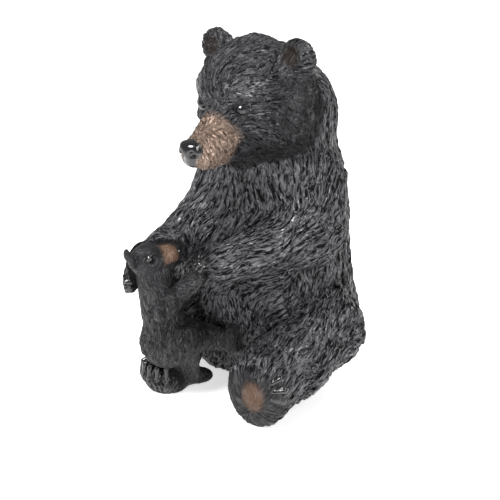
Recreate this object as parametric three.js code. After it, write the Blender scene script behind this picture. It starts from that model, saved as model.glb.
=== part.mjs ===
// Seated mother bear holding her cub, cast in one piece of resin with a carved coat of fur.
// Millimetres, +Z up. She faces -Y with her left side at +X, and her flat underside is at Z 0.
// The origin is on the ground, under the middle of the figure.

import * as THREE from "three";

// Driving sizes of the casting
const height = 584.2; // ground to the top of the ears
const width = 355.6; // hip to hip
const depth = 381; // soles to the back

// Sizes of single features, in the standing proportions of the figure below
const earRadius = 29;
const eyeRadius = 7.5;
const noseWidth = 40;
const toeRadius = 13;
const footClaw = 20; // length of a claw on the mother's feet, about four times its thickness
const handClaw = 12; // and on her hands
const solePad = 58; // half height of the mother's left sole
const cubEyeRadius = 4.6;
const cubFootLength = 46;
const lockLength = 42; // one carved lock of the mother's coat
const lockWidth = 20;
const lockRise = 2.4; // how far its tip stands off the body
const lockPitch = 28; // from one lock to the next, round the body
const cubLockShare = 0.5; // the cub's locks against the mother's

// The solid's facets
const cell = 5; // grid on which the surface is found
const facets = 8600; // triangles after thinning
const groundSnap = 0.6; // a facet corner this near the ground lies on it
const coatColor = 0x2b2b2d;

// Vectors are plain arrays of three
const add = (a, b) => [a[0] + b[0], a[1] + b[1], a[2] + b[2]];
const sub = (a, b) => [a[0] - b[0], a[1] - b[1], a[2] - b[2]];
const times = (a, s) => [a[0] * s, a[1] * s, a[2] * s];
const dot = (a, b) => a[0] * b[0] + a[1] * b[1] + a[2] * b[2];
const cross = (a, b) => [a[1] * b[2] - a[2] * b[1], a[2] * b[0] - a[0] * b[2], a[0] * b[1] - a[1] * b[0]];
const unit = (a) => times(a, 1 / Math.hypot(...a));
const along = (a, b, t) => add(a, times(sub(b, a), t));

// The figure is a sum of soft forms: balls, which are ellipsoids, and limbs, which are round cones.
// Each gives its distance to a point, and each runs into the forms before it over a blend length.
const ball = (at, size, blend = 0, more = {}) => ({ at, size, blend, ...more });
const limb = (start, end, thick, blend = 0, more = {}) => ({ start, end, thick, blend, ...more });
const pair = { pair: true }; // the same form on both sides of the group's own middle plane
const hollow = { pair: true, carve: true };

// A group's own frame: its forms look along its -Y
function frameOf(at, toward, up) {
  const y = unit(times(toward, -1));
  const z = unit(sub(up, times(y, dot(up, y))));
  return { at, axes: [cross(y, z), y, z] };
}

function ballAt(p, form) {
  const [x, y, z] = sub(p, form.at);
  const [a, b, c] = form.size;
  const near = Math.hypot(x / a, y / b, z / c);
  const slope = Math.hypot(x / (a * a), y / (b * b), z / (c * c));
  return (near * (near - 1)) / Math.max(slope, 1e-6);
}

function limbAt(p, form) {
  const run = sub(form.end, form.start);
  const from = sub(p, form.start);
  const t = Math.min(1, Math.max(0, dot(from, run) / dot(run, run)));
  return Math.hypot(...sub(from, times(run, t))) - (form.thick[0] + (form.thick[1] - form.thick[0]) * t);
}

function formAt(p, form) {
  const q = form.pair ? [Math.abs(p[0]), p[1], p[2]] : p;
  return form.at ? ballAt(q, form) : limbAt(q, form);
}

function join(a, b, blend) {
  if (blend <= 0) return Math.min(a, b);
  const h = Math.max(blend - Math.abs(a - b), 0) / blend;
  return Math.min(a, b) - (h * h * blend) / 4;
}
const carve = (a, b, blend) => -join(-a, b, blend);

function ownPoint(p, group) {
  if (!group.frame) return p;
  const d = sub(p, group.frame.at);
  return group.frame.axes.map((axis) => dot(axis, d));
}

function groupAt(p, group) {
  const q = ownPoint(p, group);
  let d = 1e3;
  for (const form of group.forms) {
    const e = formAt(q, form);
    d = form.carve ? carve(d, e, form.blend) : join(d, e, form.blend);
  }
  return d;
}

function figureAt(p, groups) {
  let d = 1e3;
  for (const group of groups) d = join(d, groupAt(p, group), group.blend);
  return d;
}

// The mother's body
const torso = {
  blend: 0,
  forms: [
    ball([8, 58, 92], [116, 115, 110]),
    ball([-16, -6, 168], [120, 94, 112], 60),
    ball([4, 56, 200], [100, 96, 110], 50),
    ball([-64, 0, 208], [88, 74, 100], 40),
    ball([-76, 34, 60], [78, 74, 78], 30),
    ball([-6, -6, 285], [94, 84, 108], 60),
    ball([4, 52, 290], [93, 86, 120], 50),
    ball([66, 2, 328], [52, 56, 58], 40),
    ball([-56, 2, 328], [52, 56, 58], 40),
    limb([0, 15, 350], [-1, -20, 462], [82, 70], 40),
    ball([16, 34, 438], [80, 64, 84], 22),
    limb([4, 70, 300], [8, 60, 420], [76, 60], 40),
    ball([6, 164, 66], [16, 14, 20], 16),
  ],
};
const leftLeg = {
  blend: 6,
  forms: [
    limb([60, 56, 94], [102, 5, 104], [70, 56]),
    limb([102, 5, 104], [94, -85, 80], [56, 50], 26),
    limb([94, -85, 78], [82, -138, 64], [49, 48], 26),
    ball([72, -164, 57], [50, 22, solePad], 20),
  ],
};
const rightLeg = {
  blend: 10,
  forms: [
    limb([-62, 50, 92], [-124, -34, 118], [74, 48]),
    limb([-124, -34, 118], [-112, -100, 40], [48, 36], 26),
  ],
};
const leftArm = {
  blend: 5,
  forms: [
    limb([74, 5, 330], [98, -38, 282], [56, 48]),
    limb([98, -48, 272], [3, -140, 241], [44, 28], 24),
  ],
};
const rightArm = {
  blend: 6,
  forms: [
    limb([-58, -8, 330], [-86, -66, 262], [50, 36]),
    limb([-86, -66, 262], [-134, -134, 218], [36, 27], 24),
  ],
};

// A paw: a palm, with toes fanned over its front and a claw bent down over each toe.
// Angles are in degrees, the fan's about the paw's own upright and the claws' above its own level.
function paw(at, toward, up, shape) {
  const { palm, fan, toe, claw, lift, dip, count = 5 } = shape;
  const radians = Math.PI / 180;
  const forms = [ball([0, 0, 0], palm)];
  const claws = [];
  for (let i = 0; i < count; i += 1) {
    const turn = (fan[0] + ((fan[1] - fan[0]) * i) / (count - 1)) * radians;
    const over = (rise, out) => {
      const level = Math.cos(rise * radians);
      const way = [Math.sin(turn) * level, -Math.cos(turn) * level, Math.sin(rise * radians)];
      return way.map((w, k) => w * (palm[k] + out));
    };
    forms.push(limb(over(62, -toe * 0.75), over(6, -toe * 0.45), [toe * 0.9, toe], toe * 0.5));
    const middle = over((lift + dip) / 2, toe * 0.55 + claw * 0.35);
    claws.push(limb(over(lift, toe * 0.3), middle, [claw * 0.8, claw], 1));
    claws.push(limb(middle, over(dip, toe * 0.5), [claw, claw * 0.4], 1));
  }
  return { blend: 6, frame: frameOf(at, toward, up), forms: [...forms, ...claws] };
}
const leftFoot = paw([84, -166, 70], [1, -0.1, -0.2], [0, 1, 0.1], {
  palm: [34, 36, 20],
  fan: [-44, 64],
  toe: toeRadius * 0.72,
  claw: footClaw * 0.24,
  lift: 22,
  dip: -44,
});
const rightFoot = paw([-119, -114, 23], [-0.2, -1, 0], [0, 0.1, 1], {
  palm: [39, 41, 33],
  fan: [-44, 40],
  toe: toeRadius * 0.8,
  claw: footClaw * 0.24,
  lift: 62,
  dip: 8,
});
const leftHand = paw([-17, -152, 242], [-0.85, -0.35, -0.35], [-0.25, -0.65, 0.7], {
  palm: [17, 19, 14],
  fan: [-46, 46],
  toe: toeRadius * 0.42,
  claw: handClaw * 0.28,
  lift: 40,
  dip: -8,
});
const rightHand = paw([-150, -151, 210], [0.02, -0.5, -0.86], [-1, -0.3, 0.15], {
  palm: [25, 38, 17],
  fan: [-44, 44],
  toe: toeRadius * 0.5,
  claw: handClaw * 0.3,
  lift: 46,
  dip: -10,
});

// The mother's head, turned a little to her right and down
const head = {
  blend: 4,
  frame: frameOf([-6, -48, 474], [-0.137, -0.975, -0.174], [-0.05, 0, 1]),
  forms: [
    ball([0, 12, 6], [74, 85, 80]),
    ball([0, -32, 26], [47, 42, 46], 30),
    ball([42, -4, -30], [42, 48, 44], 26, pair),
    ball([56, 28, -24], [29, 36, 48], 24, pair),
    limb([0, -45, -20], [0, -134, -32], [42, 22], 24),
    ball([13, -116, -39], [15, 34, 16], 14, pair),
    limb([0, -35, -50], [0, -122, -52], [34, 13], 6),
    limb([4, -158, -47], [39, -68, -46], [3, 3.6], 3, hollow),
    limb([15, -67, 33], [45, -47, 36], [11, 9], 12, pair),
    ball([38, -80, 9], [17, 14, 11], 10, hollow),
    ball([35.5, -62, 10], [13.5, 9, 10], 4, pair),
    ball([37, -76, 9.5], [12, 10, 7.4], 1.5, hollow),
    ball([36, -65.5, 10], [eyeRadius * 1.16, eyeRadius * 1.12, eyeRadius * 1.08], 0.5, pair),
    ball([81, 30, 57], [earRadius, earRadius * 0.62, earRadius * 1.04], 14),
    ball([-72, 33, 58], [earRadius, earRadius * 0.62, earRadius * 1.04], 14),
    ball([76, 9, 67], [earRadius * 0.56, earRadius * 0.62, earRadius * 0.54], 5, hollow),
    ball([0, -151, -24], [noseWidth * 0.5, 14, 13], 4),
    ball([0, -148, -15], [noseWidth * 0.46, 13, 6], 4),
    ball([0, -150, -38], [13, 11, 12], 4),
    ball([noseWidth * 0.24, -166, -27], [4.8, 7, 5.4], 2, hollow),
  ],
};

// The cub stands against her right leg, reaching up with both hands
const cubBody = {
  blend: 3,
  forms: [
    limb([-110, -163, 208], [-105, -150, 142], [28, 32]),
    ball([-102, -140, 92], [42, 39, 42], 22),
    limb([-98, -170, 196], [-88, -182, 159], [20, 17], 5),
    limb([-88, -182, 159], [-38, -161, 214], [17, 13], 4),
    ball([-34, -158, 218], [14, 13, 13], 5),
    limb([-102, -150, 94], [-72, -142, 106], [36, 25], 10),
    limb([-74, -138, 100], [-91, -104, 34], [25, 20], 12),
    limb([-94, -108, 24], [-94 + cubFootLength * 0.42, -108 + cubFootLength * 0.82, 13], [19, 10], 8),
    limb([-82, -114, 98], [-34, -94, 92], [24, 17], 8),
    ball([-16, -87, 92], [10, 14, 23], 6),
  ],
};
const cubHead = {
  blend: 4,
  frame: frameOf([-118, -171, 231], [0.7, 0.7, 0.15], [0, 0, 1]),
  forms: [
    ball([0, 0, 0], [26, 27, 26]),
    limb([0, -6, -3], [0, -33, -1], [23, 18.5], 10),
    limb([0, -4, -12], [0, -29, -12], [21, 15], 3),
    ball([14, -6, 18], [10, 9, 5], 6, pair),
    ball([17, 26, 10], [9, 6, 10], 5, pair),
    ball([22.5, -1, 12], [cubEyeRadius, cubEyeRadius * 1.2, cubEyeRadius], 0.5, pair),
    ball([0, -51, 5], [9, 6, 7], 2),
  ],
};
const bareGroups = [
  torso,
  leftLeg,
  rightLeg,
  leftFoot,
  rightFoot,
  leftArm,
  rightArm,
  leftHand,
  rightHand,
  head,
  cubBody,
  cubHead,
];

// Locks of fur: staggered rings of short tapered limbs laid on a group's surface round an axis.
// A lock starts flush with the coat and its tip stands off it.
function surfaceFrom(inside, direction, reach, groups) {
  let t = reach;
  for (let i = 0; i < 60 && t > 0; i += 1) {
    const p = add(inside, times(direction, t));
    const d = figureAt(p, groups);
    if (d < 0.2) return p;
    t -= Math.max(d * 0.7, 0.5);
  }
  return null;
}

function outward(p, groups) {
  const step = 1;
  const slope = [0, 1, 2].map((k) => {
    const side = [0, 0, 0];
    side[k] = step;
    return figureAt(add(p, side), groups) - figureAt(sub(p, side), groups);
  });
  return unit(slope);
}

function locksRound(group, start, end, reach, flow, share = 1) {
  const axis = unit(sub(end, start));
  const side = unit(cross(axis, Math.abs(axis[2]) > 0.7 ? [0, 1, 0] : [0, 0, 1]));
  const front = cross(side, axis);
  const length = lockLength * share;
  const half = (lockWidth * share) / 2;
  const rings = Math.max(1, Math.round(Math.hypot(...sub(end, start)) / (length * 0.72)));
  const locks = [];
  for (let ring = 0; ring <= rings; ring += 1) {
    const middle = along(start, end, ring / rings);
    const count = Math.round((2 * Math.PI * reach * 0.7) / (lockPitch * share));
    for (let i = 0; i < count; i += 1) {
      const turn = (i + (ring % 2) / 2 + 0.22 * Math.sin(5 * i + 3 * ring)) / count;
      const angle = 2 * Math.PI * turn;
      const direction = add(times(side, Math.cos(angle)), times(front, Math.sin(angle)));
      const p = surfaceFrom(middle, direction, reach, bareGroups);
      if (!p || p[2] < 12 || groupAt(p, group) > 3) continue;
      const normal = outward(p, bareGroups);
      const lie = unit(sub(flow, times(normal, dot(flow, normal))));
      const rise = lockRise * Math.sqrt(share) * (0.8 + 0.35 * Math.sin(7 * i + ring));
      const root = add(p, add(times(lie, -length / 2), times(normal, -half * 0.95)));
      const tip = add(p, add(times(lie, length / 2), times(normal, rise - half * 0.35)));
      locks.push(limb(root, tip, [half, half * 0.35], 5 * share));
    }
  }
  return { blend: 3 * share, forms: locks };
}

const coat = [
  locksRound(torso, [0, 50, 60], [0, 40, 400], 190, [0, 0.15, -1]),
  locksRound(head, [1, -30, 480], [14, 60, 440], 130, [0.1, 0.9, -0.5]),
  locksRound(leftLeg, [66, 50, 92], [92, -100, 70], 110, [0.2, -1, -0.15]),
  locksRound(rightLeg, [-72, 30, 92], [-118, -70, 80], 110, [-0.3, -0.6, -0.6]),
  locksRound(leftArm, [74, 5, 330], [96, -40, 282], 90, [0.35, -0.5, -0.7]),
  locksRound(leftArm, [92, -55, 268], [24, -122, 246], 80, [-0.75, -0.6, -0.2]),
  locksRound(rightArm, [-60, -10, 325], [-124, -120, 226], 80, [-0.4, -0.65, -0.5]),
  locksRound(cubBody, [-112, -158, 196], [-94, -140, 84], 64, [0.1, 0.1, -1], cubLockShare),
];
const groups = [...bareGroups, ...coat];

// The surface is found on a grid, in blocks, with only the forms that reach a block
const blockCells = 8;
const gridBox = { low: [-205, -230, -cell * 1.5], high: [190, 215, 604] };
const blockSide = blockCells * cell;
const gridSize = gridBox.low.map((low, k) => blockCells * Math.ceil((gridBox.high[k] - low) / blockSide));
const cornerPlace = (i, j, k) => add(gridBox.low, [i * cell, j * cell, k * cell]);
const cornerIndex = (i, j, k) => (k * gridSize[1] + j) * gridSize[0] + i;

function formsNear(center, reach) {
  const near = [];
  for (const group of groups) {
    const q = ownPoint(center, group);
    const forms = group.forms.filter((form) => formAt(q, form) < reach * 1.4 + form.blend + group.blend);
    if (forms.some((form) => !form.carve)) near.push({ ...group, forms });
  }
  return near;
}

// Below the ground there is nothing, which leaves a flat underside
const groundedAt = (p, near) => Math.max(figureAt(p, near), -p[2]);

function sampleGrid() {
  const values = new Float32Array(gridSize[0] * gridSize[1] * gridSize[2]);
  const half = (blockCells * cell) / 2;
  const reach = half * Math.sqrt(3);
  for (let bk = 0; bk < gridSize[2]; bk += blockCells) {
    for (let bj = 0; bj < gridSize[1]; bj += blockCells) {
      for (let bi = 0; bi < gridSize[0]; bi += blockCells) {
        const center = add(cornerPlace(bi, bj, bk), [half, half, half]);
        const near = formsNear(center, reach);
        const middle = groundedAt(center, near);
        const crossed = Math.abs(middle) < reach * 1.6;
        for (let k = bk; k < bk + blockCells; k += 1) {
          for (let j = bj; j < bj + blockCells; j += 1) {
            for (let i = bi; i < bi + blockCells; i += 1) {
              values[cornerIndex(i, j, k)] = crossed ? groundedAt(cornerPlace(i, j, k), near) : middle;
            }
          }
        }
      }
    }
  }
  return values;
}

// Each grid cell is six tetrahedra round one diagonal. A corner's number holds its three steps as bits.
const tetrahedra = [
  [0, 1, 3, 7],
  [0, 3, 2, 7],
  [0, 2, 6, 7],
  [0, 6, 4, 7],
  [0, 4, 5, 7],
  [0, 5, 1, 7],
];
const evenOrders = [
  [0, 1, 2, 3],
  [1, 0, 3, 2],
  [2, 3, 0, 1],
  [3, 2, 1, 0],
  [0, 2, 3, 1],
  [0, 3, 1, 2],
  [1, 2, 0, 3],
  [1, 3, 2, 0],
  [2, 0, 1, 3],
  [2, 1, 3, 0],
  [3, 0, 2, 1],
  [3, 1, 0, 2],
];

function surfaceOf(values) {
  const places = [];
  const triangles = [];
  const known = new Map();
  const steps = [0, 1, 2, 3, 4, 5, 6, 7].map((bits) => cornerIndex(bits & 1, (bits >> 1) & 1, bits >> 2));
  const cornerOf = (i, j, k, bits) => [i + (bits & 1), j + ((bits >> 1) & 1), k + ((bits >> 2) & 1)];
  const crossing = (i, j, k, a, b) => {
    const [low, high] = a < b ? [a, b] : [b, a];
    const from = cornerOf(i, j, k, low);
    const key = cornerIndex(...from) * 8 + (high ^ low);
    if (!known.has(key)) {
      const to = cornerOf(i, j, k, high);
      const [da, db] = [values[cornerIndex(...from)], values[cornerIndex(...to)]];
      const t = Math.min(0.96, Math.max(0.04, da / (da - db)));
      known.set(key, places.length);
      places.push(along(cornerPlace(...from), cornerPlace(...to), t));
    }
    return known.get(key);
  };
  const tetrahedron = (i, j, k, corners, inside) => {
    const count = inside.filter(Boolean).length;
    if (count === 0 || count === 4) return;
    const first = count === 3 ? 1 : count;
    const wanted = count !== 3;
    const fits = (n, place) => inside[n] === (place < first ? wanted : !wanted);
    const order = evenOrders.find((o) => o.every(fits));
    const [a, b, c, d] = order.map((n) => corners[n]);
    const edge = (m, n) => crossing(i, j, k, m, n);
    if (count === 1) triangles.push([edge(a, b), edge(a, c), edge(a, d)]);
    if (count === 3) triangles.push([edge(a, b), edge(a, d), edge(a, c)]);
    if (count === 2) {
      triangles.push([edge(a, c), edge(a, d), edge(b, d)]);
      triangles.push([edge(a, c), edge(b, d), edge(b, c)]);
    }
  };
  for (let k = 0; k + 1 < gridSize[2]; k += 1) {
    for (let j = 0; j + 1 < gridSize[1]; j += 1) {
      for (let i = 0; i + 1 < gridSize[0]; i += 1) {
        const first = cornerIndex(i, j, k);
        if (steps.every((step) => values[first + step] < 0 === values[first] < 0)) continue;
        const inside = steps.map((step) => values[first + step] < 0);
        for (const corners of tetrahedra) {
          tetrahedron(i, j, k, corners, corners.map((bits) => inside[bits]));
        }
      }
    }
  }
  return { places, triangles };
}

// Thinning: the edge whose loss changes the surface least is closed first.
// A quadric is the ten terms of the squared distance to a set of planes.
function planeQuadric([a, b, c], d, weight) {
  return [a * a, a * b, a * c, a * d, b * b, b * c, b * d, c * c, c * d, d * d].map((term) => term * weight);
}

function quadricAt(q, [x, y, z]) {
  const squares = q[0] * x * x + q[4] * y * y + q[7] * z * z;
  const products = q[1] * x * y + q[2] * x * z + q[5] * y * z + q[3] * x + q[6] * y + q[8] * z;
  return squares + 2 * products + q[9];
}

function bestPoint(q, middle) {
  const hold = 1e-3 * (q[0] + q[4] + q[7]) + 1e-9; // keeps the point near the edge on flat ground
  const [a, b, c, e, f, i] = [q[0] + hold, q[1], q[2], q[4] + hold, q[5], q[7] + hold];
  const right = [hold * middle[0] - q[3], hold * middle[1] - q[6], hold * middle[2] - q[8]];
  const rows = [
    [e * i - f * f, c * f - b * i, b * f - c * e],
    [c * f - b * i, a * i - c * c, b * c - a * f],
    [b * f - c * e, b * c - a * f, a * e - b * b],
  ];
  const size = a * rows[0][0] + b * rows[1][0] + c * rows[2][0];
  return rows.map((row) => dot(row, right) / size);
}

class Heap {
  constructor() {
    this.items = [];
  }
  push(item) {
    const list = this.items;
    let at = list.push(item) - 1;
    while (at > 0) {
      const up = (at - 1) >> 1;
      if (list[up].cost <= item.cost) break;
      list[at] = list[up];
      at = up;
    }
    list[at] = item;
  }
  pop() {
    const list = this.items;
    const top = list[0];
    const last = list.pop();
    if (!list.length) return top;
    let at = 0;
    for (;;) {
      let down = 2 * at + 1;
      if (down >= list.length) break;
      if (down + 1 < list.length && list[down + 1].cost < list[down].cost) down += 1;
      if (list[down].cost >= last.cost) break;
      list[at] = list[down];
      at = down;
    }
    list[at] = last;
    return top;
  }
}

function thin({ places, triangles }, wanted) {
  const areaNormal = ([a, b, c]) => cross(sub(places[b], places[a]), sub(places[c], places[a]));
  const quadrics = places.map(() => new Array(10).fill(0));
  const around = places.map(() => new Set());
  triangles.forEach((triangle, index) => {
    const n = areaNormal(triangle);
    const area = Math.hypot(...n);
    if (area > 0) {
      const normal = times(n, 1 / area);
      const terms = planeQuadric(normal, -dot(normal, places[triangle[0]]), area);
      for (const v of triangle) terms.forEach((term, t) => (quadrics[v][t] += term));
    }
    for (const v of triangle) around[v].add(index);
  });
  const stamp = new Int32Array(places.length);
  const heap = new Heap();
  const offer = (a, b) => {
    const sum = quadrics[a].map((term, t) => term + quadrics[b][t]);
    const spot = bestPoint(sum, along(places[a], places[b], 0.5));
    const length = Math.hypot(...sub(places[a], places[b]));
    const cost = Math.max(0, quadricAt(sum, spot)) + 1e-3 * length ** 3;
    heap.push({ cost, a, b, spot, sum, stamps: stamp[a] + stamp[b] });
  };
  const neighbours = (v) => {
    const found = new Set();
    for (const index of around[v]) for (const other of triangles[index]) if (other !== v) found.add(other);
    return found;
  };
  const wouldFlip = (v, other, spot) => {
    for (const index of around[v]) {
      const triangle = triangles[index];
      if (triangle.includes(other)) continue;
      const [p, q] = triangle.filter((one) => one !== v).map((one) => places[one]);
      const turn = triangle.indexOf(v) === 1 ? -1 : 1;
      const next = times(cross(sub(p, spot), sub(q, spot)), turn);
      const before = areaNormal(triangle);
      const longest = Math.max(...[sub(p, q), sub(p, spot), sub(q, spot)].map((side) => dot(side, side)));
      if (dot(before, next) < 0.3 * Math.hypot(...before) * Math.hypot(...next)) return true;
      if (Math.hypot(...next) < 0.06 * longest) return true;
    }
    return false;
  };
  for (let v = 0; v < places.length; v += 1) {
    for (const other of neighbours(v)) if (other > v) offer(v, other);
  }
  let left = triangles.length;
  while (left > wanted && heap.items.length) {
    const { a, b, spot, sum, stamps } = heap.pop();
    if (stamp[a] < 0 || stamp[b] < 0 || stamps !== stamp[a] + stamp[b]) continue;
    const ringA = neighbours(a);
    const shared = [...neighbours(b)].filter((v) => ringA.has(v));
    if (shared.length !== 2 || wouldFlip(a, b, spot) || wouldFlip(b, a, spot)) continue;
    places[a] = spot;
    quadrics[a] = sum;
    for (const index of around[b]) {
      const triangle = triangles[index];
      if (triangle.includes(a)) {
        for (const v of triangle) if (v !== b) around[v].delete(index);
        triangles[index] = null;
        left -= 1;
      } else {
        triangle[triangle.indexOf(b)] = a;
        around[a].add(index);
      }
    }
    around[b].clear();
    stamp[b] = -1;
    stamp[a] += 1;
    for (const other of neighbours(a)) offer(a, other);
  }
  return { places, triangles: triangles.filter(Boolean) };
}

// What rests on the ground is made flat there, and the figure takes the driving width, depth and height
function fitted({ places, triangles }) {
  const used = [...new Set(triangles.flat())];
  for (const v of used) if (places[v][2] < groundSnap) places[v][2] = 0;
  const lows = [0, 1, 2].map((k) => Math.min(...used.map((v) => places[v][k])));
  const highs = [0, 1, 2].map((k) => Math.max(...used.map((v) => places[v][k])));
  const sizes = [width, depth, height];
  const start = [-width / 2, -depth / 2, 0];
  const number = new Map(used.map((v, index) => [v, index]));
  const flat = used.flatMap((v) =>
    places[v].map((value, k) => start[k] + ((value - lows[k]) * sizes[k]) / (highs[k] - lows[k])),
  );
  const geometry = new THREE.BufferGeometry();
  geometry.setAttribute("position", new THREE.Float32BufferAttribute(flat, 3));
  geometry.setIndex(triangles.flat().map((v) => number.get(v)));
  geometry.computeVertexNormals();
  return geometry;
}

const resin = new THREE.MeshStandardMaterial({ color: coatColor, roughness: 0.45, metalness: 0 });
const casting = new THREE.Mesh(fitted(thin(surfaceOf(sampleGrid()), facets)), resin);
casting.name = "mother_and_cub_casting";

const sculpture = new THREE.Group();
sculpture.add(casting);
export default sculpture;
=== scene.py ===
import math
import bpy
import numpy as np
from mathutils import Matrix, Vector


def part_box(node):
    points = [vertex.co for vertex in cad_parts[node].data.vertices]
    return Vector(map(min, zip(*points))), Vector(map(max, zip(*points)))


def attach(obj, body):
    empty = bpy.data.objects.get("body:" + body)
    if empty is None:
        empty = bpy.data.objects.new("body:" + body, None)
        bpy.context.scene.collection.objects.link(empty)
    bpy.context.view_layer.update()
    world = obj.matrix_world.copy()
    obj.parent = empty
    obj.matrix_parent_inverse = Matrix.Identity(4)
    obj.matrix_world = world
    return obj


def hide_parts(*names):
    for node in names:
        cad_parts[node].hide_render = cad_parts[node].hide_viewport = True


# A seated mother bear with her cub, one casting of black resin with a carved coat.
# The form is worked out in millimetres, +Z up, with the mother looking along -Y.
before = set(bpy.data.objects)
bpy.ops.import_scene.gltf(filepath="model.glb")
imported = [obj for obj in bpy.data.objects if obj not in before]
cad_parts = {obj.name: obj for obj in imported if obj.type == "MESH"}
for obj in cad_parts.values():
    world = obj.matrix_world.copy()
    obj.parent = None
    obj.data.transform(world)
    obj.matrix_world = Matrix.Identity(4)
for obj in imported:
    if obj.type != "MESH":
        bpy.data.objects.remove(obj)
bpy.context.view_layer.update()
castingNode = "mother_and_cub_casting"
real = np.float32

figure = {
    "earRadius": 29, "eyeRadius": 7.5, "noseWidth": 40,
    "toeRadius": 13, "footClaw": 20, "handClaw": 12, "solePad": 58,
    "cubEyeRadius": 4.6, "cubFootLength": 46,
}
locks = {"length": 42, "width": 20, "rise": 2.4, "pitch": 28, "cubShare": 0.5}
strokes = {
    "pitch": 9.5, "depth": 1.25, "reach": 17, "across": 9.5,
    "headShare": 0.8, "headHair": 1.08, "cubShare": 0.62, "tuftShare": 2.3, "tuftDepth": 1.4,
}
mesh = {
    "cell": 1.75, "block": 12, "triangles": 198000,
    "low": (-205, -230), "high": (190, 215, 604),  # what the grid spans, from just below the ground
    "groundCut": 0.8, "groundSnap": 0.6,  # lower points are set on the ground, before and after thinning
}
farOff = 1e3  # the distance at a point that no form comes near


# Vectors and soft forms: balls are ellipsoids, limbs are round cones
def unit(v):
    v = np.asarray(v, float)
    return v / np.linalg.norm(v)


def rowsUnit(v):
    return v / np.maximum(np.sqrt((v * v).sum(1, keepdims=True)), 1e-9)


def ball(at, size, blend=0, **more):
    return dict(at=np.array(at, real), size=np.array(size, real), blend=blend, **more)


def limb(start, end, thick, blend=0, **more):
    return dict(start=np.array(start, real), end=np.array(end, real), thick=thick, blend=blend,
                **more)


def frameOf(at, toward, up):
    y = -unit(toward)
    z = np.array(up, float)
    z = unit(z - z.dot(y) * y)
    return dict(at=np.array(at, real), axes=np.stack([np.cross(y, z), y, z], 1).astype(real))


def formAt(q, form):
    if form.get("pair"):
        q = q.copy()
        q[:, 0] = np.abs(q[:, 0])
    if "at" in form:
        q = (q - form["at"]) / form["size"]
        near = np.sqrt((q * q).sum(1))
        q = q / form["size"]
        return near * (near - 1) / np.maximum(np.sqrt((q * q).sum(1)), 1e-6)
    run = form["end"] - form["start"]
    q = q - form["start"]
    t = np.clip(q @ run / (run @ run), 0, 1)
    q = q - t[:, None] * run
    return np.sqrt((q * q).sum(1)) - (form["thick"][0] + (form["thick"][1] - form["thick"][0]) * t)


def join(a, b, blend):
    if blend <= 0:
        return np.minimum(a, b)
    h = np.maximum(blend - np.abs(a - b), 0) / blend
    return np.minimum(a, b) - h * h * blend / 4


def ownPoints(p, group):
    return (p - group["frame"]["at"]) @ group["frame"]["axes"] if "frame" in group else p


def groupAt(p, group):
    q = ownPoints(p, group)
    d = np.full(len(p), farOff, real)
    for form in group["forms"]:
        e = formAt(q, form)
        d = -join(-d, e, form["blend"]) if form.get("carve") else join(d, e, form["blend"])
    return d


def figureAt(p, groups):
    d = np.full(len(p), farOff, real)
    for group in groups:
        d = join(d, groupAt(p, group), group["blend"])
    return d


# The mother's body and limbs
torso = dict(blend=0, forms=[
    ball((8, 58, 92), (116, 115, 110)),
    ball((-16, -6, 168), (120, 94, 112), 60),
    ball((4, 56, 200), (100, 96, 110), 50),
    ball((-64, 0, 208), (88, 74, 100), 40),
    ball((-76, 34, 60), (78, 74, 78), 30),
    ball((-6, -6, 285), (94, 84, 108), 60),
    ball((4, 52, 290), (93, 86, 120), 50),
    ball((66, 2, 328), (52, 56, 58), 40),
    ball((-56, 2, 328), (52, 56, 58), 40),
    limb((0, 15, 350), (-1, -20, 462), (82, 70), 40),
    ball((16, 34, 438), (80, 64, 84), 22),
    limb((4, 70, 300), (8, 60, 420), (76, 60), 40),
    ball((6, 164, 66), (16, 14, 20), 16),
])
leftLeg = dict(blend=6, forms=[
    limb((60, 56, 94), (102, 5, 104), (70, 56)),
    limb((102, 5, 104), (94, -85, 80), (56, 50), 26),
    limb((94, -85, 78), (82, -138, 64), (49, 48), 26),
    ball((72, -164, 57), (50, 22, figure["solePad"]), 20),
])
rightLeg = dict(blend=10, forms=[
    limb((-62, 50, 92), (-124, -34, 118), (74, 48)),
    limb((-124, -34, 118), (-112, -100, 40), (48, 36), 26),
])
leftArm = dict(blend=5, forms=[
    limb((74, 5, 330), (98, -38, 282), (56, 48)),
    limb((98, -48, 272), (3, -140, 241), (44, 28), 24),
])
rightArm = dict(blend=6, forms=[
    limb((-58, -8, 330), (-86, -66, 262), (50, 36)),
    limb((-86, -66, 262), (-134, -134, 218), (36, 27), 24),
])


# A paw is a palm with toes fanned over its front, and a claw bent down over each toe.
# The fan is in degrees to its own left, and a claw runs from lift to dip above the palm's middle plane.
def paw(at, toward, up, palm, fan, toe, claw, lift, dip, count=5):
    forms = [ball((0, 0, 0), palm)]
    claws = []
    for i in range(count):
        turn = math.radians(fan[0] + (fan[1] - fan[0]) * i / (count - 1))

        def over(rise, out):
            tilt = math.radians(rise)
            way = (math.sin(turn) * math.cos(tilt), -math.cos(turn) * math.cos(tilt), math.sin(tilt))
            return [w * (size + out) for w, size in zip(way, palm)]

        forms.append(limb(over(62, -toe * 0.75), over(6, -toe * 0.45), (toe * 0.9, toe), toe * 0.5))
        middle = over((lift + dip) / 2, toe * 0.55 + claw * 0.35)
        claws.append(limb(over(lift, toe * 0.3), middle, (claw * 0.8, claw), 1))
        claws.append(limb(middle, over(dip, toe * 0.5), (claw, claw * 0.4), 1))
    return dict(blend=6, frame=frameOf(at, toward, up), forms=forms + claws, claws=claws)


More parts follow.
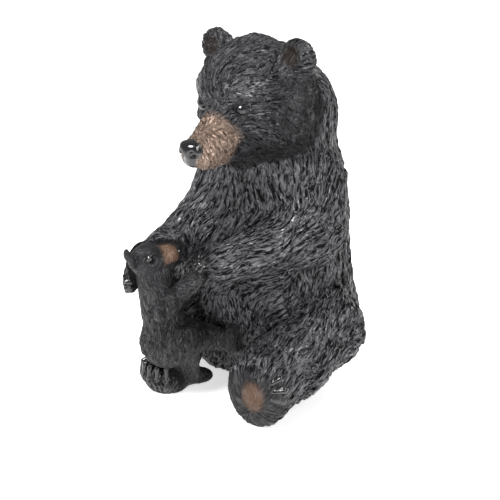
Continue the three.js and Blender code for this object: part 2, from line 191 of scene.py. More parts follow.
toe = figure["toeRadius"]
leftFoot = paw((84, -166, 70), (1, -0.1, -0.2), (0, 1, 0.1), palm=(34, 36, 20),
               fan=(-44, 64), toe=toe * 0.72, claw=figure["footClaw"] * 0.24, lift=22, dip=-44)
rightFoot = paw((-119, -114, 23), (-0.2, -1, 0), (0, 0.1, 1), palm=(39, 41, 33),
                fan=(-44, 40), toe=toe * 0.8, claw=figure["footClaw"] * 0.24, lift=62, dip=8)
leftHand = paw((-17, -152, 242), (-0.85, -0.35, -0.35), (-0.25, -0.65, 0.7), palm=(17, 19, 14),
               fan=(-46, 46), toe=toe * 0.42, claw=figure["handClaw"] * 0.28, lift=40, dip=-8)
rightHand = paw((-150, -151, 210), (0.02, -0.5, -0.86), (-1, -0.3, 0.15), palm=(25, 38, 17),
                fan=(-44, 44), toe=toe * 0.5, claw=figure["handClaw"] * 0.3, lift=46, dip=-10)

# Her head, turned a little to her right and down
ear = figure["earRadius"]
eye = figure["eyeRadius"]
nose = figure["noseWidth"]
both = dict(pair=True)
hollow = dict(pair=True, carve=True)
head = dict(blend=4, frame=frameOf((-6, -48, 474), (-0.137, -0.975, -0.174), (-0.05, 0, 1)), forms=[
    ball((0, 12, 6), (74, 85, 80)),
    ball((0, -32, 26), (47, 42, 46), 30),
    ball((42, -4, -30), (42, 48, 44), 26, **both),
    ball((56, 28, -24), (29, 36, 48), 24, **both),
    limb((0, -45, -20), (0, -134, -32), (42, 22), 24),
    ball((13, -116, -39), (15, 34, 16), 14, **both),
    limb((0, -35, -50), (0, -122, -52), (34, 13), 6),
    limb((4, -158, -47), (39, -68, -46), (2, 2.6), 3, **hollow),
    limb((15, -67, 33), (45, -47, 36), (11, 9), 12, **both),
    ball((38, -80, 9), (17, 14, 11), 10, **hollow),
    ball((35.5, -62, 10), (13.5, 9, 10), 4, **both),
    ball((37, -76, 9.5), (12, 10, 7.4), 1.5, **hollow),
    ball((36, -65.5, 10), (eye * 1.16, eye * 1.12, eye * 1.08), 0.5, **both),
    ball((81, 30, 57), (ear, ear * 0.62, ear * 1.04), 14),
    ball((-72, 33, 58), (ear, ear * 0.62, ear * 1.04), 14),
    ball((76, 9, 67), (ear * 0.56, ear * 0.62, ear * 0.54), 5, **hollow),
    ball((0, -151, -24), (nose * 0.5, 14, 13), 4),
    ball((0, -148, -15), (nose * 0.46, 13, 6), 4),
    ball((0, -150, -38), (13, 11, 12), 4),
    ball((nose * 0.25, -163, -26), (5.6, 9, 6), 2, **hollow),
    ball((nose * 0.42, -160, -30), (5, 6, 2.4), 2, **hollow),
    limb((0, -165, -38), (0, -158, -50), (1.6, 1.8), 2, carve=True),
])

# The cub stands by her right leg and reaches up with both hands
cubFoot = figure["cubFootLength"]
cubEye = figure["cubEyeRadius"]
cubBody = dict(blend=3, forms=[
    limb((-110, -163, 208), (-105, -150, 142), (28, 32)),
    ball((-102, -140, 92), (42, 39, 42), 22),
    limb((-98, -170, 196), (-88, -182, 159), (20, 17), 5),
    limb((-88, -182, 159), (-38, -161, 214), (17, 13), 4),
    ball((-34, -158, 218), (14, 13, 13), 5),
    limb((-102, -150, 94), (-72, -142, 106), (36, 25), 10),
    limb((-74, -138, 100), (-91, -104, 34), (25, 20), 12),
    limb((-94, -108, 24), (-94 + cubFoot * 0.42, -108 + cubFoot * 0.82, 13), (19, 10), 8),
    limb((-82, -114, 98), (-34, -94, 92), (24, 17), 8),
    ball((-16, -87, 92), (10, 14, 23), 6),
])
cubHead = dict(blend=4, frame=frameOf((-118, -171, 231), (0.7, 0.7, 0.15), (0, 0, 1)), forms=[
    ball((0, 0, 0), (26, 27, 26)),
    limb((0, -6, -3), (0, -33, -1), (23, 18.5), 10),
    limb((0, -4, -12), (0, -29, -12), (21, 15), 3),
    ball((14, -6, 18), (10, 9, 5), 6, **both),
    ball((17, 26, 10), (9, 6, 10), 5, **both),
    ball((18, 20, 12), (5, 5, 6), 3, **hollow),
    ball((25, -3, 11), (6, 7, 6), 3, **hollow),
    ball((22.5, -1, 12), (cubEye, cubEye * 1.2, cubEye), 0.5, **both),
    limb((3, -54, -6), (21, -26, -9), (1.8, 1.8), 2, **hollow),
    ball((0, -51, 5), (9, 6, 7), 2),
])
cubPaw = paw((-79, -80, 13), (0.45, 0.88, -0.08), (0, 0, 1), palm=(12, 17, 9), fan=(-38, 38),
             toe=toe * 0.3, claw=figure["handClaw"] * 0.17, lift=24, dip=-12, count=4)
paws = [leftFoot, rightFoot, leftHand, rightHand, cubPaw]
bareGroups = [torso, leftLeg, rightLeg, leftFoot, rightFoot, leftArm, rightArm, leftHand, rightHand,
              head, cubBody, cubHead, cubPaw]


# From points inside the figure, out along their directions to its surface
def surfaceFrom(inside, direction, reach, groups):
    t = np.full(len(inside), float(reach))
    found = np.zeros(len(inside), bool)
    for _ in range(60):
        p = (inside + direction * t[:, None]).astype(real)
        d = figureAt(p, groups)
        found |= d < 0.2
        t = np.where(found, t, t - np.maximum(d * 0.7, 0.5))
    return (inside + direction * t[:, None]).astype(real), found & (t > 0)


def outward(p, groups):
    slope = np.empty((len(p), 3), real)
    for k in range(3):
        side = np.zeros(3, real)
        side[k] = 1
        slope[:, k] = figureAt(p + side, groups) - figureAt(p - side, groups)
    return rowsUnit(slope)


# Locks of fur: staggered rings of short tapered limbs laid on a group's surface round an axis
def locksRound(group, start, end, reach, flow, share=1.0):
    start, end, flow = np.array(start, float), np.array(end, float), np.array(flow, float)
    axis = unit(end - start)
    side = unit(np.cross(axis, (0, 1, 0) if abs(axis[2]) > 0.7 else (0, 0, 1)))
    front = np.cross(side, axis)
    length = locks["length"] * share
    half = locks["width"] * share / 2
    rings = max(1, round(np.linalg.norm(end - start) / (length * 0.72)))
    count = round(2 * math.pi * reach * 0.7 / (locks["pitch"] * share))
    grids = np.meshgrid(np.arange(rings + 1), np.arange(count), indexing="ij")
    ring, i = (grid.ravel() for grid in grids)
    angle = 2 * math.pi * (i + (ring % 2) / 2 + 0.22 * np.sin(5 * i + 3 * ring)) / count
    direction = np.cos(angle)[:, None] * side + np.sin(angle)[:, None] * front
    middle = start + (end - start) * (ring / rings)[:, None]
    p, found = surfaceFrom(middle, direction, reach, bareGroups)
    keep = found & (p[:, 2] >= 12) & (groupAt(p, group) <= 3)
    p, ring, i = p[keep], ring[keep], i[keep]
    normal = outward(p, bareGroups)
    lie = rowsUnit(flow - normal * (normal @ flow)[:, None])
    rise = locks["rise"] * math.sqrt(share) * (0.8 + 0.35 * np.sin(7 * i + ring))
    roots = p - lie * length / 2 - normal * half * 0.95
    tips = p + lie * length / 2 + normal * (rise - half * 0.35)[:, None]
    forms = [limb(a, b, (half, half * 0.35), 5 * share) for a, b in zip(roots, tips)]
    return dict(blend=3 * share, forms=forms)


coat = [
    locksRound(torso, (0, 50, 60), (0, 40, 400), 190, (0, 0.15, -1)),
    locksRound(head, (1, -30, 480), (14, 60, 440), 130, (0.1, 0.9, -0.5)),
    locksRound(leftLeg, (66, 50, 92), (92, -100, 70), 110, (0.2, -1, -0.15)),
    locksRound(rightLeg, (-72, 30, 92), (-118, -70, 80), 110, (-0.3, -0.6, -0.6)),
    locksRound(leftArm, (74, 5, 330), (96, -40, 282), 90, (0.35, -0.5, -0.7)),
    locksRound(leftArm, (92, -55, 268), (24, -122, 246), 80, (-0.75, -0.6, -0.2)),
    locksRound(rightArm, (-60, -10, 325), (-124, -120, 226), 80, (-0.4, -0.65, -0.5)),
    locksRound(cubBody, (-112, -158, 196), (-94, -140, 84), 64, (0.1, 0.1, -1), locks["cubShare"]),
]
groups = bareGroups + coat
print("forms", sum(len(group["forms"]) for group in groups))

# The surface is found on a grid, block by block, with only the forms that reach a block
cell = mesh["cell"]
block = mesh["block"]
gridLow = np.array((*mesh["low"], -cell * 1.5), real)
gridHigh = np.array(mesh["high"], real)
gridSize = block * np.ceil((gridHigh - gridLow) / (cell * block)).astype(int)


# For every block centre and every form, whether the form can reach the surface there
def formsNear(centers, reach):
    tables = []
    for group in groups:
        q = ownPoints(centers, group)
        tables.append(np.stack([formAt(q, form) < reach * 1.3 + form["blend"] + group["blend"]
                                for form in group["forms"]], 1))
    return tables


def nearGroups(tables, row):
    near = []
    for group, table in zip(groups, tables):
        forms = [form for form, reached in zip(group["forms"], table[row]) if reached]
        if any(not form.get("carve") for form in forms):
            near.append(dict(group, forms=forms))
    return near


def lattice(*steps):
    return np.stack(np.meshgrid(*steps, indexing="ij"), -1).reshape(-1, 3)


def sampleGrid():
    values = np.empty(gridSize, real)
    steps = np.arange(block)
    local = lattice(steps, steps, steps).astype(real) * cell
    half = (block - 1) * cell / 2
    reach = (half + cell / 2) * math.sqrt(3)
    corners = lattice(*[np.arange(0, n, block) for n in gridSize])
    centers = (gridLow + corners * cell + half).astype(real)
    rough = np.maximum(figureAt(centers, bareGroups), -centers[:, 2])
    for (i, j, k), far in zip(corners, rough):
        values[i:i + block, j:j + block, k:k + block] = far
    crossed = np.abs(rough) < reach * 1.2 + 5
    tables = formsNear(centers[crossed], reach)
    for row, (i, j, k) in enumerate(corners[crossed]):
        p = local + (gridLow + np.array((i, j, k)) * cell).astype(real)
        d = np.maximum(figureAt(p, nearGroups(tables, row)), -p[:, 2])
        values[i:i + block, j:j + block, k:k + block] = d.reshape(block, block, block)
    print("grid", crossed.sum(), "blocks of", len(crossed))
    return values


# Surface nets: one point in each cell that the surface crosses, one quad across each crossed edge
def surfaceOf(values):
    inside = values < 0
    corners = [(b & 1, b >> 1 & 1, b >> 2) for b in range(8)]
    size = np.array(values.shape) - 1
    total = np.zeros(size, np.uint8)
    for x, y, z in corners:
        total += inside[x:size[0] + x, y:size[1] + y, z:size[2] + z]
    cells = np.argwhere((total > 0) & (total < 8))
    number = np.full(size, -1, np.int32)
    number[tuple(cells.T)] = np.arange(len(cells))
    at = [values[tuple((cells + np.array(c)).T)] for c in corners]
    place = np.zeros((len(cells), 3), real)
    weight = np.zeros(len(cells), real)
    for a in range(8):
        for axis in range(3):
            b = a | 1 << axis
            if b == a:
                continue
            crossed = (at[a] < 0) != (at[b] < 0)
            t = np.where(crossed, at[a] / np.where(crossed, at[a] - at[b], 1), 0)
            spot = np.tile(np.array(corners[a], real), (len(cells), 1))
            spot[:, axis] += t
            place += spot * crossed[:, None]
            weight += crossed
    points = gridLow + (cells + place / weight[:, None]) * cell
    quads = []
    for axis in range(3):
        low = [slice(None)] * 3
        high = [slice(None)] * 3
        low[axis], high[axis] = slice(0, -1), slice(1, None)
        edges = np.argwhere(inside[tuple(low)] != inside[tuple(high)])
        edges = edges[(edges > 0).all(1) & (edges < size).all(1)]
        u, v = np.eye(3, dtype=int)[(axis + 1) % 3], np.eye(3, dtype=int)[(axis + 2) % 3]
        ring = [number[tuple((edges - s).T)] for s in (u * 0, u, u + v, v)]
        quad = np.stack(ring, 1)
        leaving = inside[tuple(edges.T)]
        quads.append(np.where(leaving[:, None], quad, quad[:, ::-1]))
    return points.astype(real), np.concatenate(quads)


def normalsOf(points, faces):
    across = np.cross(points[faces[:, 2]] - points[faces[:, 0]],
                      points[faces[:, 3]] - points[faces[:, 1]])
    normals = np.zeros_like(points)
    for k in range(4):
        for axis in range(3):
            normals[:, axis] += np.bincount(faces[:, k], across[:, axis], len(points))
    return rowsUnit(normals)


# The lie of the fur: each guide is a line with a direction, or a source that fur grows away from
guides = [
    ((0, 40, 60), (0, 30, 420), (0, 0.1, -1), 90),
    ((70, 40, 95), (100, 0, 100), (0.5, -0.8, -0.4), 60),
    ((102, 0, 104), (84, -150, 70), (-0.05, -1, -0.25), 60),
    ((-70, 40, 95), (-124, -34, 118), (-0.7, -0.5, -0.2), 60),
    ((-124, -34, 118), (-112, -110, 30), (0.1, -0.5, -0.8), 48),
    ((74, 5, 340), (98, -40, 280), (0.35, -0.45, -0.8), 50),
    ((98, -45, 274), (0, -140, 240), (-0.75, -0.62, -0.25), 44),
    ((-60, -5, 330), (-86, -66, 262), (-0.3, -0.6, -0.7), 44),
    ((-86, -66, 262), (-144, -150, 205), (-0.5, -0.62, -0.5), 36),
    ((-112, -158, 200), (-98, -144, 110), (0.1, 0.05, -1), 34),
    ((-98, -170, 200), (-38, -162, 214), (0.9, 0.1, 0.5), 18),
    ((-80, -134, 90), (-90, -96, 30), (-0.2, 0.5, -1), 24),
]
sources = [
    ((-18, -196, 470), (-8, -120, 486), 96),
    ((-82, -148, 262), (-95, -155, 252), 34),
]


def hashed(node, seed):
    n = node @ np.array((127.1, 311.7, 74.7)) + seed * 53.13
    return np.modf(np.abs(np.sin(n) * 43758.5453))[0]


# Smooth noise between -1 and 1 on a cubic lattice
def noiseAt(p, size, seed):
    q = p / size + seed * 17.3
    base = np.floor(q)
    f = q - base
    f = f * f * (3 - 2 * f)
    total = np.zeros(len(p))
    for b in range(8):
        bits = np.array((b & 1, b >> 1 & 1, b >> 2))
        weight = np.prod(np.where(bits, f, 1 - f), axis=1)
        total += weight * hashed(base + bits, seed)
    return total * 2 - 1


def flowAt(p, normals):
    flow = np.zeros((len(p), 3))
    for start, end, direction, reach in guides:
        start, run = np.array(start, float), np.array(end, float) - np.array(start, float)
        q = p - start
        t = np.clip(q @ run / (run @ run), 0, 1)
        gap = ((q - t[:, None] * run) ** 2).sum(1)
        flow += np.exp(-gap / reach ** 2)[:, None] * unit(direction)
    for source, middle, reach in sources:
        away = rowsUnit(p - np.array(source, float))
        gap = ((p - np.array(middle, float)) ** 2).sum(1)
        flow += (3 * np.exp(-gap / reach ** 2))[:, None] * away
    flow -= normals * (flow * normals).sum(1, keepdims=True)
    flow = rowsUnit(flow)
    side = np.cross(normals, flow)
    turn = 0.55 * noiseAt(p, 34, 1) + 0.35 * noiseAt(p, 13, 2)
    flow = flow * np.cos(turn)[:, None] + side * np.sin(turn)[:, None]
    return rowsUnit(flow)


# Carved strokes: waves across the lie of the fur, from scattered patches that each have their own phase
def strokesAt(p, normals, flow, share):
    side = np.cross(normals, flow)
    patch = strokes["reach"]
    q = p / share[:, None]
    base = np.floor(q / patch)
    cosine, sine = np.zeros(len(p)), np.zeros(len(p))
    for b in range(27):
        node = base + np.array((b % 3 - 1, b // 3 % 3 - 1, b // 9 - 1))
        jitter = np.stack([hashed(node, seed) for seed in (3, 4, 5)], 1)
        gap = q - (node + jitter) * patch
        along = (gap * flow).sum(1) / patch
        across = (gap * side).sum(1)
        out = (gap * normals).sum(1)
        weight = np.exp(-1.6 * along ** 2 - (across ** 2 + out ** 2) / strokes["across"] ** 2)
        phase = 2 * math.pi * (across / strokes["pitch"] + hashed(node, 6))
        cosine += weight * np.cos(phase)
        sine += weight * np.sin(phase)
    height = 2 * np.abs(np.cos(np.arctan2(sine, cosine) / 2)) ** 0.8 - 1.1  # round tops, narrow grooves
    return height * np.clip(0.8 + 0.5 * noiseAt(p, 8, 7), 0.35, 1.15)


# What is smooth or painted: 1 inside, 0 outside, with a soft edge of so many millimetres
def within(distance, edge):
    return np.clip(0.5 - distance / edge, 0, 1)


def localBall(p, group, at, size, mirrored=True):
    q = ownPoints(p, group)
    if mirrored:
        q = np.concatenate([np.abs(q[:, :1]), q[:, 1:]], 1)
    q = (q - np.array(at, real)) / np.array(size, real)
    return (np.sqrt((q * q).sum(1)) - 1) * min(size)


def clawsAt(p):
    d = np.full(len(p), farOff)
    for group in paws:
        q = ownPoints(p, group)
        for form in group["claws"]:
            d = np.minimum(d, formAt(q, form))
    return d


def paintAt(p, normals):
    masks = {}
    masks["claw"] = within(clawsAt(p) - 0.8, 1.2)
    noses = np.minimum.reduce([
        localBall(p, head, (0, -151, -22), (nose * 0.5, 15, 16), False),
        localBall(p, head, (0, -152, -38), (12, 11, 12), False),
        localBall(p, cubHead, (0, -51, 5), (9, 6, 7), False)])
    masks["nose"] = within(noses - 1, 2)
    eyes = np.minimum(localBall(p, head, (36, -65.5, 10), (eye * 1.16, eye * 1.12, eye * 1.08)),
                      localBall(p, cubHead, (22.5, -1, 12), (cubEye, cubEye * 1.2, cubEye)))
    masks["eye"] = within(eyes - 0.9, 1)
    # Painted shade: the lids and the hollow round each eye are painted gloss black, partly their own
    # dark paint, partly the shade in the hollow
    masks["lidAndHollowShade"] = within(eyes - 5, 5)
    masks["paw"] = within(np.minimum.reduce([groupAt(p, group) for group in paws]) - 3, 6)
    masks["young"] = within(np.minimum(groupAt(p, cubBody), groupAt(p, cubHead)) - 4, 6)
    masks["cubFace"] = within(groupAt(p, cubHead) - 2, 4)
    # Painted highlight: the upper part of her head is painted paler, more so higher up, as if lit from
    # above
    crownHighlight = np.clip((ownPoints(p, head)[:, 2] + 30) / 50, 0, 1)
    masks["crownHighlight"] = within(groupAt(p, head) - 6, 12) * (1 - masks["young"]) * crownHighlight
    # Painted highlight: a light grey patch on each brow ridge, where light falls on it
    masks["browHighlight"] = within(localBall(p, head, (44, -50, 40), (25, 22, 12)), 9)
    q = ownPoints(p, head)
    muzzle = np.maximum(q[:, 1] + 78 + 0.35 * np.abs(q[:, 2] + 30), np.abs(q[:, 0]) - 60)
    c = ownPoints(p, cubHead)
    cubMuzzle = np.maximum.reduce([c[:, 1] + 24, -c[:, 2] - 4, groupAt(p, cubHead) - 3])
    reachOfHead = localBall(p, head, (0, -90, -30), (60, 80, 62), False)
    masks["tan"] = np.maximum(within(np.maximum(muzzle, reachOfHead), 14), within(cubMuzzle, 6))
    inner = localBall(p, head, (76, 9, 67), (ear * 0.56, ear * 0.62, ear * 0.54))
    masks["earInside"] = within(inner - 1, 4)
    # The sole and its pad: dark by their own paint, and painted darker still for the shade they sit in
    sole = np.maximum(p[:, 1] + 168, localBall(p, dict(forms=[]), (72, -164, 48), (56, 40, 53), False))
    masks["sole"] = within(sole, 5) * (normals[:, 1] < -0.25)
    shadedPad = localBall(p, dict(forms=[]), (77, -184, 56), (18, 60, 23), False)
    masks["shadedPad"] = within(shadedPad, 7) * masks["sole"]
    return masks


# Strokes are finer on the mother's head, and finer still on the cub
def shareAt(p, headShare):
    onCub = within(np.minimum(groupAt(p, cubBody), groupAt(p, cubHead)) - 6, 8)
    onHead = within(groupAt(p, head) - 8, 16)
    share = 1 - (1 - headShare) * onHead
    return share + (strokes["cubShare"] - share) * onCub


def carvingAt(p, normals, flow, masks):
    share = shareAt(p, strokes["headShare"])
    fur = furAt(masks)
    fine = strokesAt(p, normals, flow, share) * fur
    tufts = strokesAt(p, normals, flow, share * strokes["tuftShare"]) * fur
    return fine, tufts, share


def furAt(masks):
    smooth = [masks["claw"], masks["nose"], masks["eye"], masks["lidAndHollowShade"] * 0.9, masks["sole"] * 0.8,
              masks["earInside"] * 0.6, masks["paw"] * 0.6, masks["cubFace"] * 0.7]
    return 1 - np.maximum.reduce(smooth)


# The casting: strokes cut into the surface, then thinned, and set in the CAD node's own box
def fitToNode(points, natural):
    low, high = (np.array(corner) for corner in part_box(castingNode))
    return low + (points - natural[0]) * (high - low) / (natural[1] - natural[0])


def meshObject(name, points, faces):
    data = bpy.data.meshes.new(name)
    data.vertices.add(len(points))
    data.vertices.foreach_set("co", points.astype(np.float32).ravel())
    count = faces.shape[1]
    data.loops.add(faces.size)
    data.loops.foreach_set("vertex_index", faces.astype(np.int32).ravel())
    data.polygons.add(len(faces))
    data.polygons.foreach_set("loop_start", np.arange(0, faces.size, count, dtype=np.int32))
    data.update(calc_edges=True)
    obj = bpy.data.objects.new(name, data)
    bpy.context.scene.collection.objects.link(obj)
    return obj


def thinned(obj, wanted):
    shrink = obj.modifiers.new("thin", "DECIMATE")
    shrink.ratio = wanted / sum(len(face.vertices) - 2 for face in obj.data.polygons)
    lean = bpy.data.meshes.new_from_object(obj.evaluated_get(bpy.context.evaluated_depsgraph_get()))
    obj.modifiers.clear()
    obj.data = lean
    return obj


def setOnGround(points, limit):
    points[:, 2] = np.where(points[:, 2] < limit, 0, points[:, 2])


def carvedSurface():
    points, quads = surfaceOf(sampleGrid())
    print("surface", len(points), "points")
    normals = normalsOf(points, quads)
    flow = flowAt(points, normals)
    fine, tufts, share = carvingAt(points, normals, flow, paintAt(points, normals))
    lift = (fine * strokes["depth"] + tufts * strokes["tuftDepth"]) * share
    points = points + normals * lift[:, None]
    setOnGround(points, mesh["groundCut"])
    print("strokes cut")
    return points, quads


def rowsOf(data, what):
    flat = np.empty(len(data.vertices) * 3, np.float32)
    data.vertices.foreach_get(what, flat)
    return flat.reshape(-1, 3)


def store(data, name, kind, field, values):
    attribute = data.attributes.new(name, kind, "POINT")
    attribute.data.foreach_set(field, values.astype(np.float32).ravel())


def makeCasting():
    obj = thinned(meshObject("bearCasting", *carvedSurface()), mesh["triangles"])
    data = obj.data
    points = rowsOf(data, "co")
    normals = rowsOf(data, "normal")
    flow = flowAt(points, normals)
    masks = paintAt(points, normals)
    fine, tufts, _ = carvingAt(points, normals, flow, masks)
    masks["fur"] = furAt(masks)
    masks["share"] = shareAt(points, strokes["headHair"])
    masks["stroke"] = np.clip(0.5 + 0.5 * fine, 0, 1)
    masks["tuft"] = np.clip(0.5 + 0.5 * tufts, 0, 1)
    for name, mask in masks.items():
        store(data, name, "FLOAT", "value", mask)
    store(data, "lie", "FLOAT_VECTOR", "vector", flow)
    setOnGround(points, mesh["groundSnap"])
    low, high = points.min(0), points.max(0)
    data.vertices.foreach_set("co", fitToNode(points, (low, high)).astype(np.float32).ravel())
    data.polygons.foreach_set("use_smooth", np.ones(len(data.polygons), bool))
    data.update()
    data.calc_loop_triangles()
    print("casting", len(data.loop_triangles), "triangles", low, high)
    return obj


casting = makeCasting()
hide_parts(castingNode)
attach(casting, "root")


# Paint makes nodes, and a Wire is one socket: sums, products and powers of wires add Math nodes
class Wire:
    def __init__(self, paint, socket):
        self.paint = paint
        self.socket = socket

    def math(self, operation, first, second):
        return self.paint.node("ShaderNodeMath", {"operation": operation}, {0: first, 1: second})

    def __add__(self, other):
        return self.math("ADD", self, other)

    def __sub__(self, other):
        return self.math("SUBTRACT", self, other)

    def __rsub__(self, other):
        return self.math("SUBTRACT", other, self)

    def __mul__(self, other):
        return self.math("MULTIPLY", self, other)

    def __truediv__(self, other):
        return self.math("DIVIDE", self, other)

    def __rtruediv__(self, other):
        return self.math("DIVIDE", other, self)

    def __pow__(self, other):
        return self.math("POWER", self, other)

    __radd__ = __add__
    __rmul__ = __mul__


class Paint:
    def __init__(self, name):
        self.material = bpy.data.materials.new(name)
        self.material.use_nodes = True
        self.tree = self.material.node_tree
        self.tree.nodes.clear()

    def node(self, kind, settings, sockets, output=0):
        node = self.tree.nodes.new(kind)
        for key, value in settings.items():
            setattr(node, key, value)
        for key, value in sockets.items():
            if isinstance(value, Wire):
                self.tree.links.new(value.socket, node.inputs[key])
            else:
                node.inputs[key].default_value = value
        return Wire(self, node.outputs[output])

    def attribute(self, name, output="Fac"):
        return self.node("ShaderNodeAttribute", {"attribute_name": name}, {}, output)

    def vector(self, operation, first, second):
        output = "Value" if operation == "DOT_PRODUCT" else "Vector"
        sockets = {0: first, 3 if operation == "SCALE" else 1: second}
        return self.node("ShaderNodeVectorMath", {"operation": operation}, sockets, output)

    def blend(self, factor, first, second):
        return self.node("ShaderNodeMix", {"data_type": "RGBA"}, {0: factor, 6: first, 7: second}, 2)

    def clamp(self, value):
        return self.node("ShaderNodeClamp", {}, {0: value})

    def finished(self, surface):
        output = self.tree.nodes.new("ShaderNodeOutputMaterial")
        self.tree.links.new(surface.socket, output.inputs["Surface"])
        return self.material


# Pitch, patch and bump are in metres
hair = {"pitch": 0.0031, "patch": 0.016, "bump": 0.0028, "squash": 0.15, "contrast": 3.6}
resin = {
    "roughness": 0.3, "specular": 0.7, "glossDrop": 0.18,
    "grooveRoughness": 0.9, "grooveSpecular": 0.1,
    "mottleScale": 26, "grainScale": 420, "grainHeight": 0.1, "crownHighlightStrength": 0.22,
}
colors = {
    # Painted shade: the groove colours darken the carved grooves, on the fur and on the tan muzzle
    "grooveShade": (0.002, 0.002, 0.0024, 1),
    # Painted highlight: the pale colour on her brows and the upper part of her head
    "fur": (0.072, 0.072, 0.078, 1),
    "browHighlight": (0.36, 0.36, 0.38, 1),
    "paw": (0.016, 0.016, 0.018, 1),
    "cubFur": (0.032, 0.032, 0.035, 1),
    "tan": (0.68, 0.49, 0.38, 1),
    "tanGrooveShade": (0.055, 0.034, 0.025, 1),
    # Painted shade in the grooves of the tan muzzle
    "cubTan": (0.2, 0.12, 0.075, 1),
    "ear": (0.03, 0.021, 0.018, 1),
    # Sole and pad: their own dark paint with painted shade added
    "sole": (0.014, 0.014, 0.015, 1),
    "shadedPad": (0.08, 0.048, 0.033, 1),
    "gloss": (0.004, 0.004, 0.005, 1),
}


# Fine hairs: noise drawn out along the lie of the fur, patch by patch so that it can bend
def hairLayer(paint, spots, lie, share, shift):
    place = paint.vector("ADD", spots, (shift, shift, shift))
    patch = {"Vector": place, "Scale": 1 / hair["patch"]}
    middle = paint.node("ShaderNodeTexVoronoi", {}, patch, "Position")
    far = paint.node("ShaderNodeTexVoronoi", {}, patch, "Distance")
    gap = paint.vector("SUBTRACT", place, middle)
    along = paint.vector("DOT_PRODUCT", gap, lie) * (1 - hair["squash"])
    drawn = paint.vector("SUBTRACT", gap, paint.vector("SCALE", lie, along))
    drawn = paint.vector("ADD", drawn, paint.vector("SCALE", middle, 11))
    wave = paint.node("ShaderNodeTexNoise", {}, {
        "Vector": drawn, "Scale": 1 / hair["pitch"] / share, "Detail": 1.0, "Roughness": 0.5})
    return wave, paint.clamp(1.05 - far * 1.25) ** 2 + 0.001


def resinPaint():
    paint = Paint("paintedResin")
    stroke = paint.attribute("stroke")
    fur = paint.attribute("fur")
    spots = paint.node("ShaderNodeTexCoord", {}, {}, "Object")
    lie = paint.attribute("lie", "Vector")
    share = paint.attribute("share")
    first, firstWeight = hairLayer(paint, spots, lie, share, 0.0)
    second, secondWeight = hairLayer(paint, spots, lie, share, 0.3137)
    hairs = (first * firstWeight + second * secondWeight) / (firstWeight + secondWeight)
    hairs = paint.clamp((hairs - 0.5) * hair["contrast"] + 0.5)
    mottle, grain = (
        paint.node("ShaderNodeTexNoise", {}, {"Vector": spots, "Scale": resin[scale], "Detail": 3})
        for scale in ("mottleScale", "grainScale"))
    # Painted shade: each point's colour runs from the dark groove colour up to the ridge colour by how
    # high it stands in the carving, with less of this on the cub
    lift = paint.clamp(hairs + stroke * 0.6 - 0.5 + (paint.attribute("tuft") - 0.5) * 0.4
                       + (mottle - 0.5) * 0.5)
    young = paint.attribute("young")
    lift = lift - (lift - 0.5) * young * 0.5
    # Painted highlight: the brows and the upper head blend from the fur colour toward the pale highlight
    # colour
    paintedHighlight = paint.clamp(paint.attribute("browHighlight") + paint.attribute("crownHighlight") * resin["crownHighlightStrength"])
    ridge = paint.blend(paintedHighlight, colors["fur"], colors["browHighlight"])
    ridge = paint.blend(young, ridge, colors["cubFur"])
    ridge = paint.blend(paint.attribute("paw"), ridge, colors["paw"])
    color = paint.blend(lift, colors["grooveShade"], ridge)
    # Painted shade in the grooves of the tan muzzle too
    tan = paint.blend(lift, colors["tanGrooveShade"], paint.blend(young, colors["tan"], colors["cubTan"]))
    color = paint.blend(paint.attribute("tan"), color, tan)
    # The lid colour is black paint with painted shade of the eye hollow; the sole and pad colours carry
    # painted shade too
    for mask, name in (("lidAndHollowShade", "gloss"), ("earInside", "ear"), ("sole", "sole"), ("shadedPad", "shadedPad")):
        color = paint.blend(paint.attribute(mask), color, colors[name])
    glossy = paint.clamp(paint.attribute("claw") + paint.attribute("nose") + paint.attribute("eye"))
    color = paint.blend(glossy, color, colors["gloss"])
    shine = paint.clamp(lift * (0.5 + fur * 0.7) + glossy)
    bump = paint.node("ShaderNodeBump", {}, {
        "Strength": 1.0, "Distance": hair["bump"], "Height": hairs * fur + grain * resin["grainHeight"]})
    dull = paint.node("ShaderNodeBsdfPrincipled", {}, {
        "Base Color": color, "Roughness": resin["grooveRoughness"],
        "Specular IOR Level": resin["grooveSpecular"], "Normal": bump})
    bright = paint.node("ShaderNodeBsdfPrincipled", {}, {
        "Base Color": color, "Roughness": resin["roughness"] - glossy * resin["glossDrop"],
        "Specular IOR Level": resin["specular"], "Normal": bump})
    return paint.finished(paint.node("ShaderNodeMixShader", {}, {0: shine, 1: dull, 2: bright}))


casting.data.materials.clear()
casting.data.materials.append(resinPaint())
print("painted")

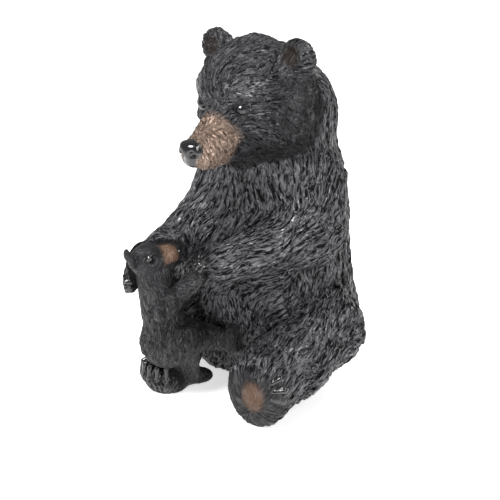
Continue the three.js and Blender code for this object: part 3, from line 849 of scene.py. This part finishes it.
# Floor, soft light and the photograph's view
view = {
    "azimuth": 29.282, "elevation": 21.048, "distance": 2.6, "target": (-0.0134, -0.0039, 0.2235),
    "pixelsPerMetre": 628.9, "picture": 500, "sensor": 36.0,
}
studio = {"floorSize": 200, "floorDrop": 0.0005, "floorColor": (0.9, 0.9, 0.9, 1), "floorGlow": 0.6,
          "world": 0.36, "lightsAimAt": (0, 0, 0.3)}
lights = {  # place, size, power
    "keyLight": ((-0.5, -1.5, 2.2), (1.0, 0.9), 90),
    "rightLight": ((2.0, -1.1, 1.5), (0.9, 1.2), 34),
    "backLight": ((0.6, 1.6, 2.2), (1.2, 0.9), 45),
}


def makeStage():
    bpy.ops.mesh.primitive_plane_add(size=studio["floorSize"], location=(0, 0, -studio["floorDrop"]))
    floor = bpy.context.object
    floor.name = "floor"
    paint = Paint("paleFloor")
    surface = paint.node("ShaderNodeBsdfPrincipled", {}, {
        "Base Color": studio["floorColor"], "Roughness": 0.9,
        "Emission Color": (1, 1, 1, 1), "Emission Strength": studio["floorGlow"]})
    floor.data.materials.append(paint.finished(surface))
    world = bpy.data.worlds.new("studio")
    bpy.context.scene.world = world
    world.use_nodes = True
    background = world.node_tree.nodes["Background"]
    background.inputs["Color"].default_value = (1, 1, 1, 1)
    background.inputs["Strength"].default_value = studio["world"]
    bpy.context.scene.view_settings.view_transform = "Standard"


def areaLight(name, place, size, power):
    light = bpy.data.lights.new(name, "AREA")
    light.shape = "RECTANGLE"
    light.size, light.size_y = size
    light.energy = power
    obj = bpy.data.objects.new(name, light)
    obj.location = place
    aim = Vector(studio["lightsAimAt"]) - Vector(place)
    obj.rotation_euler = aim.to_track_quat("-Z", "Y").to_euler()
    bpy.context.scene.collection.objects.link(obj)


def makeCamera():
    a, e = math.radians(view["azimuth"]), math.radians(view["elevation"])
    back = Vector((math.sin(a) * math.cos(e), -math.cos(a) * math.cos(e), math.sin(e)))
    camera = bpy.data.cameras.new("camera")
    camera.sensor_width = view["sensor"]
    camera.lens = view["pixelsPerMetre"] * view["distance"] * view["sensor"] / view["picture"]
    obj = bpy.data.objects.new("camera", camera)
    obj.location = Vector(view["target"]) + back * view["distance"]
    obj.rotation_euler = back.to_track_quat("Z", "Y").to_euler()
    bpy.context.scene.collection.objects.link(obj)
    bpy.context.scene.camera = obj


makeStage()
for name, (place, size, power) in lights.items():
    areaLight(name, place, size, power)
makeCamera()
print("stage and camera")
